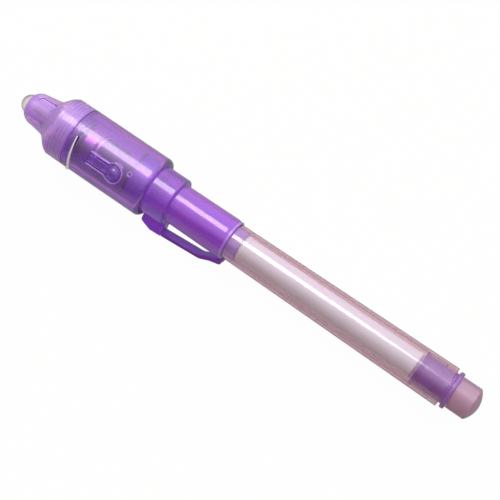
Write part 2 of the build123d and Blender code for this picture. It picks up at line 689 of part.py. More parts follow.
def pull_tab():
    """Film across the front cell. Its outer edge is slanted and lies inside the slot."""
    edge = HOUSING_RADIUS - TAB_EDGE_DEPTH
    half = TAB_WIDTH / 2
    outline = Polyline(
        (-TAB_INNER_REACH, -half),
        (edge, -half),
        (edge + TAB_EDGE_SLANT, half),
        (-TAB_INNER_REACH, half),
        close=True,
    )
    plane = Plane(origin=(TAB_X, 0, 0), x_dir=(0, 1, 0), z_dir=(1, 0, 0))
    film = extrude(plane * make_face(outline), TAB_THICKNESS / 2, both=True)
    return around(film, TAB_ANGLE)


leads = {
    "led_anode_lead": around(anode_lead(), BUTTON_ANGLE),
    "led_cathode_lead": around(cathode_lead(), BUTTON_ANGLE),
}
pieces = {
    "barrel": barrel(),
    "nib_section": nib_section(),
    "nib": nib(),
    "ink_reservoir": ink_reservoir(),
    "reservoir_wrap": reservoir_wrap(),
    "tail_plug": tail_plug(),
    "tail_post": tail_post(),
    "cap_sleeve": cap_sleeve(),
    "pocket_clip": pocket_clip(),
    "light_housing": light_housing(),
    "push_button": push_button(),
    "nose_cone": nose_cone(),
    "led_lens": led_lens(leads.values()),
    **leads,
    "led_holder": led_holder(),
    **{f"button_cell_{index + 1}": button_cell(index) for index in range(CELL_COUNT)},
    "battery_cradle": battery_cradle(),
    "switch_contact": switch_contact(),
    "switch_leaf": switch_leaf(),
    "pull_tab": pull_tab(),
}

# The origin is on the table, under the middle of the pen's outline
outline_box = Compound(list(pieces.values())).bounding_box()
ORIGIN = Vector(outline_box.center().X, outline_box.center().Y, outline_box.min.Z)

os.makedirs("parts", exist_ok=True)
for name, piece in pieces.items():
    export_step(Pos(-ORIGIN) * piece, f"parts/{name}.step")
print("overall size", outline_box.size)
print("origin", ORIGIN)
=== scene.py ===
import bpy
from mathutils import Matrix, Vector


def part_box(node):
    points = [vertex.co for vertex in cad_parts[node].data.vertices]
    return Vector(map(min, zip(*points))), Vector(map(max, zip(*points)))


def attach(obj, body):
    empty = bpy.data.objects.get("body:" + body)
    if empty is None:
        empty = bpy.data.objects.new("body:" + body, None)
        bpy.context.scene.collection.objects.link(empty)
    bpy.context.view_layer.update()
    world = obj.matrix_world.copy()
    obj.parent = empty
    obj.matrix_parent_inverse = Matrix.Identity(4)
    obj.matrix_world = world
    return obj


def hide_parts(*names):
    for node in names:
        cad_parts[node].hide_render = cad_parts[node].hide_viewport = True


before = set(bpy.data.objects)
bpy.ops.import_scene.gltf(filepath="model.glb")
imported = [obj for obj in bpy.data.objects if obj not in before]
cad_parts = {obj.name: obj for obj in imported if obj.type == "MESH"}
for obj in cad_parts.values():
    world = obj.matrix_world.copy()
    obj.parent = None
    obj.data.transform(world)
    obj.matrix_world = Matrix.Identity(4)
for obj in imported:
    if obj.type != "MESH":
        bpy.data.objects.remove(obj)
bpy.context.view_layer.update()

import math

import bpy
from mathutils import Matrix, Vector

MM = 0.001

# Where the photograph was taken from
VIEW_AZIMUTH = math.radians(35.66)
VIEW_ELEVATION = math.radians(71.10)
VIEW_DISTANCE = 314.6 * MM
VIEW_TARGET = Vector((1.825, 0.892, 7.8)) * MM
VIEW_NEAR = 0.01
VIEW_FAR = 10.0
SENSOR_WIDTH = 36.0
PHOTO_WIDTH = 500
FOCAL_PIXELS = 1342.3
LENS = FOCAL_PIXELS / PHOTO_WIDTH * SENSOR_WIDTH

# Angles round the axis, counted upwards from the side that faces -Y
BUTTON_ANGLE = 54.0
TAB_ANGLE = 35.0
GATE_ANGLE = 70.0

# Keyhole slot of the button, the gate mark behind it, and the beads along them
PAD_RADIUS = 1.95 * MM
LIP_PAD_RADIUS = 2.38 * MM
LIP_HALF_WIDTH = 1.56 * MM
LIP_BEAD = 0.21 * MM
RIM_PAD_RADIUS = 1.84 * MM
RIM_HALF_WIDTH = 0.88 * MM
RIM_BEAD = 0.10 * MM
GATE_SETBACK = 5.1 * MM
GATE_RADIUS = 0.55 * MM
GATE_BEAD = 0.2 * MM
BEAD_WELD = 0.01 * MM
BEAD_STEP = 0.12 * MM

# Black seals in the cells' front rims
SEAL_OUTER = 3.85 * MM
SEAL_INNER = 3.28 * MM
SEAL_SETBACK = 0.23 * MM
SEAL_WIDTH = 0.22 * MM
SEAL_ROUND = 0.06 * MM

# Painted shade over the rear cells, which begins on the second one
CELL_SHADE_SETBACK = 1.1 * MM
CELL_SHADE_FADE = 0.3 * MM
CELL_SHADE_TINT = (0.05, 0.035, 0.16)

# Finger of the cradle over the cells, by its height over the axis
CRADLE_FINGER_LOW = 1.6 * MM
CRADLE_FINGER_HIGH = 2.6 * MM
CRADLE_FINGER_TINT = (0.03, 0.02, 0.10)

# Rim of the cap's mouth
MOUTH_BEAD_OUTER = 5.02 * MM
MOUTH_BEAD_DEPTH = 0.34 * MM
MOUTH_BEAD_WIDTH = 0.72 * MM
MOUTH_BEAD_SETBACK = 0.45 * MM
MOUTH_BEAD_ROUND = 0.16 * MM

# Painted shade at the seam, and turned lines on the nose's skirt
SEAM_SHADE_WIDTH = 0.2 * MM
SKIRT_RINGS = 5
SKIRT_RING_SETBACK = 0.55 * MM
SKIRT_RING_PITCH = 0.9 * MM
SKIRT_RING_WIDTH = 0.2 * MM
SKIRT_RING_DEPTH = 0.2 * MM
SKIRT_RING_RISE = 0.03 * MM
SKIRT_RING_ROUND = 0.05 * MM

# Pull tab's film, and a black layer behind it that is painted shade
FILM_THICKNESS = 0.11 * MM
FILM_SHADE_THICKNESS = 0.06 * MM
FILM_WIDTH = 9.7 * MM
FILM_INNER = -2.2 * MM
FILM_EDGE = 6.05 * MM
FILM_EDGE_SLANT = 0.75 * MM
FILM_LEAN_START = 4.4 * MM
FILM_LEAN = 0.25 * MM
FILM_HEM_DEPTH = 0.3 * MM
FILM_HEM = 0.28 * MM
FILM_HEM_SPREAD = 0.62 * MM
FILM_STEPS = 32
FILM_STEP_EASE = 0.6
FILM_LEAN_EASE = 1.5
FILM_HEM_EASE = 1.2

# Fibres of the ink reservoir
STRAND_RELIEF = 0.05 * MM
STRAND_STRETCH = (70.0, 2600.0, 2600.0)
ROD_SIDES = 220
ROD_RINGS = 70
ROD_END_RINGS = 6

# Marks and fine relief of the finishes
FLOW_RANGE = (0.3, 0.7)
SCUFF_STRETCH = (60.0, 900.0, 900.0)
SCUFF_RANGE = (0.56, 0.74)
GRAIN_SHARE = 0.12
SKIN_RELIEF = 0.05 * MM
FIBRE_SHINE = 0.2
FIBRE_ROUGHNESS = (0.75, 0.95)
FIBRE_BUMP = 0.6
RESERVOIR_RELIEF = 0.03 * MM
NIB_RELIEF = 0.02 * MM
METAL_BUMP = 0.25
METAL_RELIEF = 0.01 * MM

# Table: how much of it glows evenly, and how strongly, for each kind of ray
FLOOR_RADIUS = 2.5
FLOOR_SIDES = 96
FLOOR_COLOUR = (0.90, 0.82, 0.73, 1)
FLOOR_ROUGHNESS = 0.9
FLOOR_COVER = {"Is Camera Ray": 0.975, "Is Glossy Ray": 0.85, "Is Transmission Ray": 0.2}
FLOOR_LEVEL = {"Is Camera Ray": 1.0, "Is Glossy Ray": 0.3, "Is Transmission Ray": 0.9}

# Room and lamp
ROOM_BRIGHT_SIDE = (0.0, 0.64, 0.77)
ROOM_BRIGHT_AT = 0.95
ROOM_BRIGHT = (1.12, 1.12, 1.17, 1)
ROOM_DIM = (0.15, 0.11, 0.085, 1)
KEY_PLACE = (-0.20, 0.17, 0.59)
KEY_ALONG = (0.96, -0.28, 0.0)
KEY_LENGTH = 0.47
KEY_WIDTH = 0.26
KEY_RADIANCE = 4.6

# Sockets of a Mix node, which share their names
MIX_VALUE_A = 2
MIX_VALUE_B = 3
MIX_COLOUR_A = 6
MIX_COLOUR_B = 7
MIX_COLOUR_OUT = 2

barrel_low, barrel_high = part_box("barrel")
AXIS = Vector((0, (barrel_low[1] + barrel_high[1]) / 2, (barrel_low[2] + barrel_high[2]) / 2))
MOUTH = barrel_low[0]
SKIN_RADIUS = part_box("light_housing")[1][2] - AXIS.z


def socket(tree, name, kind, side, value=None):
    """Adds a named socket to a node group."""
    made = tree.interface.new_socket(name=name, in_out=side, socket_type=kind)
    if value is not None:
        made.default_value = value
    return made


def add(tree, kind, **values):
    """Adds a node. Values go to its inputs by name, or to its own properties."""
    node = tree.nodes.new(kind)
    for name, value in values.items():
        label = name.replace("_", " ")
        if label in node.inputs:
            node.inputs[label].default_value = value
        else:
            setattr(node, name, value)
    return node


def skin_group():
    """Surface of a moulded piece: long flow marks, fine grain and sparse scuffs."""
    tree = bpy.data.node_groups.new("moulded_skin", "ShaderNodeTree")
    socket(tree, "Vector", "NodeSocketVector", "INPUT")
    socket(tree, "Flow Scale", "NodeSocketFloat", "INPUT", 420.0)
    socket(tree, "Flow Stretch", "NodeSocketVector", "INPUT", (0.08, 1.0, 1.0))
    socket(tree, "Grain Scale", "NodeSocketFloat", "INPUT", 2600.0)
    socket(tree, "Flow", "NodeSocketFloat", "OUTPUT")
    socket(tree, "Scuff", "NodeSocketFloat", "OUTPUT")
    socket(tree, "Height", "NodeSocketFloat", "OUTPUT")
    ends = add(tree, "NodeGroupInput")
    out = add(tree, "NodeGroupOutput")
    stretch = add(tree, "ShaderNodeVectorMath", operation="MULTIPLY")
    flow = add(tree, "ShaderNodeTexNoise", Detail=3.0, Roughness=0.5)
    contrast = add(tree, "ShaderNodeMapRange", From_Min=FLOW_RANGE[0], From_Max=FLOW_RANGE[1])
    grain = add(tree, "ShaderNodeTexNoise", Detail=2.0, Roughness=0.6)
    long = add(tree, "ShaderNodeVectorMath", operation="MULTIPLY")
    long.inputs[1].default_value = SCUFF_STRETCH
    scuff = add(tree, "ShaderNodeTexNoise", Scale=1.0, Detail=2.0, Roughness=0.55)
    rare = add(tree, "ShaderNodeMapRange", From_Min=SCUFF_RANGE[0], From_Max=SCUFF_RANGE[1])
    soft = add(tree, "ShaderNodeMath", operation="MULTIPLY")
    soft.inputs[1].default_value = GRAIN_SHARE
    height = add(tree, "ShaderNodeMath", operation="ADD")
    join = tree.links.new
    join(ends.outputs["Vector"], stretch.inputs[0])
    join(ends.outputs["Flow Stretch"], stretch.inputs[1])
    join(stretch.outputs[0], flow.inputs["Vector"])
    join(ends.outputs["Flow Scale"], flow.inputs["Scale"])
    join(flow.outputs["Fac"], contrast.inputs["Value"])
    join(ends.outputs["Vector"], grain.inputs["Vector"])
    join(ends.outputs["Grain Scale"], grain.inputs["Scale"])
    join(ends.outputs["Vector"], long.inputs[0])
    join(long.outputs[0], scuff.inputs["Vector"])
    join(scuff.outputs["Fac"], rare.inputs["Value"])
    join(grain.outputs["Fac"], soft.inputs[0])
    join(soft.outputs[0], height.inputs[0])
    join(flow.outputs["Fac"], height.inputs[1])
    join(contrast.outputs["Result"], out.inputs["Flow"])
    join(rare.outputs["Result"], out.inputs["Scuff"])
    join(height.outputs[0], out.inputs["Height"])
    return tree


def strand_group():
    """Bonded fibres or drawn lines that lie along the pen."""
    tree = bpy.data.node_groups.new("bonded_strands", "ShaderNodeTree")
    socket(tree, "Vector", "NodeSocketVector", "INPUT")
    socket(tree, "Strand", "NodeSocketVector", "INPUT", (120.0, 4200.0, 4200.0))
    socket(tree, "Strands", "NodeSocketFloat", "OUTPUT")
    socket(tree, "Clouds", "NodeSocketFloat", "OUTPUT")
    ends = add(tree, "NodeGroupInput")
    out = add(tree, "NodeGroupOutput")
    drawn = add(tree, "ShaderNodeVectorMath", operation="MULTIPLY")
    strand = add(tree, "ShaderNodeTexNoise", Scale=1.0, Detail=3.0, Roughness=0.6)
    cloud = add(tree, "ShaderNodeTexNoise", Scale=260.0, Detail=4.0, Roughness=0.6)
    join = tree.links.new
    join(ends.outputs["Vector"], drawn.inputs[0])
    join(ends.outputs["Strand"], drawn.inputs[1])
    join(drawn.outputs[0], strand.inputs["Vector"])
    join(ends.outputs["Vector"], cloud.inputs["Vector"])
    join(strand.outputs["Fac"], out.inputs["Strands"])
    join(cloud.outputs["Fac"], out.inputs["Clouds"])
    return tree


skin = skin_group()
strands = strand_group()


def blank(name):
    """Empty material with its tree, an output and a Principled shader."""
    material = bpy.data.materials.new(name)
    material.use_nodes = True
    tree = material.node_tree
    tree.nodes.clear()
    output = add(tree, "ShaderNodeOutputMaterial")
    shader = add(tree, "ShaderNodeBsdfPrincipled")
    tree.links.new(shader.outputs[0], output.inputs["Surface"])
    return material, tree, output, shader


def blend_colours(tree, factor, dark, light):
    """Mixes two colours by a factor."""
    mix = add(tree, "ShaderNodeMix", data_type="RGBA")
    mix.inputs[MIX_COLOUR_A].default_value = (*dark, 1)
    mix.inputs[MIX_COLOUR_B].default_value = (*light, 1)
    tree.links.new(factor, mix.inputs[0])
    return mix.outputs[MIX_COLOUR_OUT]


def turn_to(tree, factor, colour, tint):
    """Turns a colour to a tint by a factor."""
    mix = add(tree, "ShaderNodeMix", data_type="RGBA")
    mix.inputs[MIX_COLOUR_B].default_value = (*tint, 1)
    tree.links.new(factor, mix.inputs[0])
    tree.links.new(colour, mix.inputs[MIX_COLOUR_A])
    return mix.outputs[MIX_COLOUR_OUT]


def rising(tree, place, axis, begins, ends):
    """Mask that rises from 0 to 1 between two places along an axis."""
    axes = add(tree, "ShaderNodeSeparateXYZ")
    mask = add(tree, "ShaderNodeMapRange", From_Min=begins, From_Max=ends)
    tree.links.new(place.outputs["Object"], axes.inputs[0])
    tree.links.new(axes.outputs[axis], mask.inputs["Value"])
    return mask.outputs["Result"]


def spread(tree, value, low, high, target):
    """Spreads a mask over a range of values."""
    node = add(tree, "ShaderNodeMapRange", To_Min=low, To_Max=high)
    tree.links.new(value, node.inputs["Value"])
    tree.links.new(node.outputs["Result"], target)


def relief(tree, height, distance, strength, target):
    """Bump from a height mask."""
    node = add(tree, "ShaderNodeBump", Strength=strength, Distance=distance)
    tree.links.new(height, node.inputs["Height"])
    tree.links.new(node.outputs[0], target)


def moulded(tree, shader, flow, rough, ripple):
    """Gives a shader the scuffs and relief of a moulded skin. Returns its flow marks and the coordinates."""
    place = add(tree, "ShaderNodeTexCoord")
    surface = add(tree, "ShaderNodeGroup", node_tree=skin, Flow_Scale=flow)
    tree.links.new(place.outputs["Object"], surface.inputs["Vector"])
    spread(tree, surface.outputs["Scuff"], *rough, shader.inputs["Roughness"])
    relief(tree, surface.outputs["Height"], SKIN_RELIEF, ripple, shader.inputs["Normal"])
    return surface.outputs["Flow"], place


def let_light_in(tree, output, shader, passed):
    """Lamps and scattered light pass straight through, tinted, so that the pieces inside are lit."""
    path = add(tree, "ShaderNodeLightPath")
    clear = add(tree, "ShaderNodeBsdfTransparent", Color=(*passed, 1))
    for_lamps = add(tree, "ShaderNodeMixShader")
    for_bounces = add(tree, "ShaderNodeMixShader")
    tree.links.new(path.outputs["Is Shadow Ray"], for_lamps.inputs[0])
    tree.links.new(shader.outputs[0], for_lamps.inputs[1])
    tree.links.new(clear.outputs[0], for_lamps.inputs[2])
    tree.links.new(path.outputs["Is Diffuse Ray"], for_bounces.inputs[0])
    tree.links.new(for_lamps.outputs[0], for_bounces.inputs[1])
    tree.links.new(clear.outputs[0], for_bounces.inputs[2])
    tree.links.new(for_bounces.outputs[0], output.inputs["Surface"])


def clear_plastic(
    name, dark, light, absorbed, transmission, rough, ior=1.49, ripple=0.15, flow=420.0,
    gloss=None, pearl=1.6, edge=None, slant=0.25, passed=(1, 1, 1),
):
    """Tinted see-through plastic.

    absorbed is what a millimetre takes off red, green and blue. gloss is the roughness of a shiny outer
    skin, and pearl its refractive index. edge is the colour that the plastic deepens to where it is seen
    at a slant, and slant how early it does: partly the longer path through the plastic, partly a painted
    reflection of darker surroundings at the rims. passed is the share of light that each face lets in.
    """
    material, tree, output, shader = blank(name)
    shader.inputs["Transmission Weight"].default_value = transmission
    shader.inputs["IOR"].default_value = ior
    marks, _ = moulded(tree, shader, flow, rough, ripple)
    colour = blend_colours(tree, marks, dark, light)
    if edge:
        tilt = add(tree, "ShaderNodeLayerWeight", Blend=slant)
        colour = turn_to(tree, tilt.outputs["Facing"], colour, edge)
    tree.links.new(colour, shader.inputs["Base Color"])
    if gloss:
        shader.inputs["Coat Weight"].default_value = 1.0
        shader.inputs["Coat Roughness"].default_value = gloss
        shader.inputs["Coat IOR"].default_value = pearl
    let_light_in(tree, output, shader, passed)
    if absorbed:
        most = max(absorbed)
        left = [1 - share / most for share in absorbed]
        body = add(tree, "ShaderNodeVolumeAbsorption", Color=(*left, 1), Density=most / MM)
        tree.links.new(body.outputs[0], output.inputs["Volume"])
    return material


def fibre(name, dark, light, relief_depth):
    """Bonded fibre, white and soft."""
    material, tree, output, shader = blank(name)
    shader.inputs["Specular IOR Level"].default_value = FIBRE_SHINE
    place = add(tree, "ShaderNodeTexCoord")
    body = add(tree, "ShaderNodeGroup", node_tree=strands)
    tree.links.new(place.outputs["Object"], body.inputs["Vector"])
    tree.links.new(blend_colours(tree, body.outputs["Clouds"], dark, light), shader.inputs["Base Color"])
    spread(tree, body.outputs["Strands"], *FIBRE_ROUGHNESS, shader.inputs["Roughness"])
    relief(tree, body.outputs["Strands"], relief_depth, FIBRE_BUMP, shader.inputs["Normal"])
    return material


def metal(name, dark, light, rough, turned_lines, film=None):
    """Plated or rolled metal with lines round the axis or along it.

    film is a tint of painted shade and the place along X where the metal turns to it.
    """
    material, tree, output, shader = blank(name)
    shader.inputs["Metallic"].default_value = 1.0
    place = add(tree, "ShaderNodeTexCoord")
    lines = add(tree, "ShaderNodeGroup", node_tree=strands)
    lines.inputs["Strand"].default_value = turned_lines
    tree.links.new(place.outputs["Object"], lines.inputs["Vector"])
    colour = blend_colours(tree, lines.outputs["Clouds"], dark, light)
    # Painted shade: from a place along X the metal turns to a dark tint
    if film:
        tint, begins = film
        covered = rising(tree, place, "X", begins, begins + CELL_SHADE_FADE)
        colour = turn_to(tree, covered, colour, tint)
    tree.links.new(colour, shader.inputs["Base Color"])
    spread(tree, lines.outputs["Strands"], *rough, shader.inputs["Roughness"])
    relief(tree, lines.outputs["Strands"], METAL_RELIEF, METAL_BUMP, shader.inputs["Normal"])
    return material


def dull_plastic(name, dark, light, rough, ripple):
    """Plastic that no light passes through."""
    material, tree, output, shader = blank(name)
    marks, _ = moulded(tree, shader, flow=220.0, rough=rough, ripple=ripple)
    tree.links.new(blend_colours(tree, marks, dark, light), shader.inputs["Base Color"])
    return material


def cradle_tones():
    """Violet plastic of the cradle. Its finger over the cells, the high part, is nearly black."""
    material, tree, output, shader = blank("cradle_violet")
    shader.inputs["Transmission Weight"].default_value = 0.35
    marks, place = moulded(tree, shader, flow=300.0, rough=(0.3, 0.5), ripple=0.3)
    violet_part = blend_colours(tree, marks, (0.34, 0.16, 0.62), (0.46, 0.25, 0.74))
    high = rising(tree, place, "Z", AXIS.z + CRADLE_FINGER_LOW, AXIS.z + CRADLE_FINGER_HIGH)
    tree.links.new(turn_to(tree, high, violet_part, CRADLE_FINGER_TINT), shader.inputs["Base Color"])
    let_light_in(tree, output, shader, passed=(0.7, 0.5, 0.9))
    return material


lilac = clear_plastic(
    "housing_lilac", (0.58, 0.22, 0.90), (0.81, 0.45, 0.99), (0.06, 0.14, 0.02), 0.89, (0.02, 0.05),
    ripple=0.08, gloss=0.36, pearl=1.76, edge=(0.40, 0.18, 0.62), passed=(0.86, 0.74, 0.96),
)
nose_lilac = clear_plastic(
    "nose_lilac", (0.70, 0.42, 0.97), (0.84, 0.59, 0.99), (0.02, 0.05, 0.01), 0.68, (0.04, 0.10),
    ripple=0.3, gloss=0.34, pearl=1.5, edge=(0.66, 0.38, 0.88), passed=(0.92, 0.84, 0.98),
)
button_lilac = clear_plastic(
    "button_lilac", (0.42, 0.17, 0.80), (0.56, 0.28, 0.92), (0.08, 0.16, 0.03), 0.7, (0.06, 0.12),
    gloss=0.1, pearl=1.55, edge=(0.28, 0.10, 0.55), passed=(0.84, 0.70, 0.95),
)
violet = clear_plastic(
    "sleeve_violet", (0.50, 0.12, 0.81), (0.68, 0.25, 0.94), (0.09, 0.30, 0.03), 0.66, (0.06, 0.14),
    ripple=0.3, gloss=0.22, pearl=1.6, edge=(0.40, 0.13, 0.60), passed=(0.82, 0.64, 0.95),
)
clip_violet = clear_plastic(
    "clip_violet", (0.28, 0.045, 0.50), (0.43, 0.10, 0.66), (0.18, 0.45, 0.10), 0.4, (0.10, 0.2),
    gloss=0.15, pearl=1.5, edge=(0.20, 0.03, 0.36), passed=(0.66, 0.42, 0.85),
)
mauve = clear_plastic(
    "barrel_mauve", (0.97, 0.95, 0.97), (0.99, 0.98, 0.99), (0.07, 0.16, 0.10), 1.0, (0.02, 0.06),
    ripple=0.015, gloss=0.12, pearl=1.38, edge=(0.50, 0.09, 0.29), slant=0.42, passed=(0.96, 0.95, 0.96),
)
orchid = clear_plastic(
    "plug_orchid", (0.42, 0.16, 0.58), (0.56, 0.27, 0.73), (0.14, 0.28, 0.10), 0.5, (0.12, 0.22),
    gloss=0.25, edge=(0.30, 0.08, 0.40), passed=(0.82, 0.66, 0.88),
)
post_mauve = clear_plastic(
    "post_mauve", (0.66, 0.40, 0.56), (0.80, 0.55, 0.70), (0.14, 0.26, 0.18), 0.5, (0.14, 0.24),
    gloss=0.36, pearl=1.65, edge=(0.40, 0.16, 0.36), passed=(0.88, 0.76, 0.84),
)
section = clear_plastic(
    "section_lilac", (0.52, 0.32, 0.76), (0.78, 0.59, 0.95), (0.08, 0.15, 0.04), 0.35, (0.20, 0.35),
    flow=900.0,
)
film_wrap = clear_plastic(
    "wrap_film", (0.96, 0.94, 0.97), (0.99, 0.98, 1.0), None, 1.0, (0.08, 0.16), ior=1.2
)
# The LED's grey rim, from its edge colour, is a painted reflection of dark surroundings
epoxy = clear_plastic(
    "led_epoxy", (0.97, 0.97, 0.98), (1.0, 1.0, 1.0), None, 1.0, (0.01, 0.04),
    ior=1.53, ripple=0.03, edge=(0.16, 0.16, 0.18), slant=0.45,
)
cradle_plastic = cradle_tones()
holder = clear_plastic(
    "holder_violet", (0.42, 0.30, 0.62), (0.50, 0.38, 0.70), (0.20, 0.34, 0.10), 0.5, (0.30, 0.45)
)
reservoir = fibre("reservoir_fibre", (0.87, 0.865, 0.855), (0.97, 0.97, 0.96), RESERVOIR_RELIEF)
nib_fibre = fibre("nib_fibre", (0.86, 0.84, 0.82), (0.94, 0.93, 0.91), NIB_RELIEF)
# The rear cells take painted shade from part way along the second one
cell_steel = metal(
    "cell_steel", (0.66, 0.62, 0.64), (0.84, 0.80, 0.81), (0.24, 0.38), (3800.0, 90.0, 90.0),
    film=(CELL_SHADE_TINT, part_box("button_cell_2")[0][0] + CELL_SHADE_SETBACK),
)
tinned = metal("tinned_lead", (0.62, 0.62, 0.64), (0.76, 0.76, 0.78), (0.22, 0.40), (200.0, 2400.0, 2400.0))
spring = metal("contact_steel", (0.55, 0.54, 0.52), (0.70, 0.69, 0.67), (0.20, 0.36), (200.0, 3600.0, 3600.0))
tab_film = dull_plastic("tab_film", (0.93, 0.93, 0.96), (0.98, 0.98, 0.99), (0.35, 0.55), 0.35)
# Near-black layer behind the tab's film: painted shade for the dark gap under its lifted edge
tab_backing = dull_plastic("tab_backing", (0.012, 0.010, 0.018), (0.03, 0.025, 0.04), (0.45, 0.6), 0.3)
seal_black = dull_plastic("seal_black", (0.012, 0.010, 0.03), (0.03, 0.025, 0.06), (0.5, 0.7), 0.3)

finish = {
    "barrel": mauve,
    "tail_post": post_mauve,
    "nib_section": section,
    "nib": nib_fibre,
    "ink_reservoir": reservoir,
    "reservoir_wrap": film_wrap,
    "tail_plug": orchid,
    "cap_sleeve": violet,
    "pocket_clip": clip_violet,
    "light_housing": lilac,
    "push_button": button_lilac,
    "nose_cone": nose_lilac,
    "led_lens": epoxy,
    "led_anode_lead": tinned,
    "led_cathode_lead": tinned,
    "led_holder": holder,
    "button_cell_1": cell_steel,
    "button_cell_2": cell_steel,
    "button_cell_3": cell_steel,
    "battery_cradle": cradle_plastic,
    "switch_contact": spring,
    "switch_leaf": spring,
    "pull_tab": tab_film,
}
for name, material in finish.items():
    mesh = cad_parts[name].data
    mesh.materials.clear()
    mesh.materials.append(material)


def new_rule(name, inputs):
    """Tree of geometry nodes with named inputs. inputs is a name, a kind and a first value each."""
    tree = bpy.data.node_groups.new(name, "GeometryNodeTree")
    for label, kind, value in inputs:
        socket(tree, label, "NodeSocket" + kind, "INPUT", value)
    socket(tree, "Material", "NodeSocketMaterial", "INPUT")
    socket(tree, "Geometry", "NodeSocketGeometry", "OUTPUT")
    return tree, add(tree, "NodeGroupInput")


def finish_rule(tree, ends, shape):
    """Ends a tree: real meshes, smooth, in the material that was asked for."""
    real = add(tree, "GeometryNodeRealizeInstances")
    smooth = add(tree, "GeometryNodeSetShadeSmooth")
    paint = add(tree, "GeometryNodeSetMaterial")
    out = add(tree, "NodeGroupOutput")
    tree.links.new(shape, real.inputs["Geometry"])
    tree.links.new(real.outputs["Geometry"], smooth.inputs["Geometry"])
    tree.links.new(smooth.outputs["Geometry"], paint.inputs["Geometry"])
    tree.links.new(ends.outputs["Material"], paint.inputs["Material"])
    tree.links.new(paint.outputs["Geometry"], out.inputs["Geometry"])
    return tree


def rings_rule():
    """Rings round the pen's axis at even steps, each with a rounded section."""
    tree, ends = new_rule(
        "turned_rings",
        (
            ("Count", "Int", 1),
            ("First", "Vector", (0.0, 0.0, 0.0)),
            ("Step", "Vector", (0.0, 0.0, 0.0)),
            ("Radius", "Float", 0.004),
            ("Width", "Float", 0.001),
            ("Depth", "Float", 0.001),
            ("Round", "Float", 0.0001),
        ),
    )
    path = add(tree, "GeometryNodeCurvePrimitiveCircle", Resolution=160)
    section = add(tree, "GeometryNodeCurvePrimitiveQuadrilateral")
    softened = add(tree, "GeometryNodeFilletCurve", mode="POLY", Count=5)
    sweep = add(tree, "GeometryNodeCurveToMesh")
    turn = add(tree, "GeometryNodeTransform", Rotation=(0.0, math.pi / 2, 0.0))
    places = add(tree, "GeometryNodeMeshLine")
    copies = add(tree, "GeometryNodeInstanceOnPoints")
    join = tree.links.new
    join(ends.outputs["Radius"], path.inputs["Radius"])
    join(ends.outputs["Depth"], section.inputs["Width"])
    join(ends.outputs["Width"], section.inputs["Height"])
    join(section.outputs["Curve"], softened.inputs["Curve"])
    join(ends.outputs["Round"], softened.inputs["Radius"])
    join(path.outputs["Curve"], sweep.inputs["Curve"])
    join(softened.outputs["Curve"], sweep.inputs["Profile Curve"])
    join(sweep.outputs["Mesh"], turn.inputs["Geometry"])
    join(ends.outputs["Count"], places.inputs["Count"])
    join(ends.outputs["First"], places.inputs["Start Location"])
    join(ends.outputs["Step"], places.inputs["Offset"])
    join(places.outputs["Mesh"], copies.inputs["Points"])
    join(turn.outputs["Geometry"], copies.inputs["Instance"])
    return finish_rule(tree, ends, copies.outputs["Instances"])


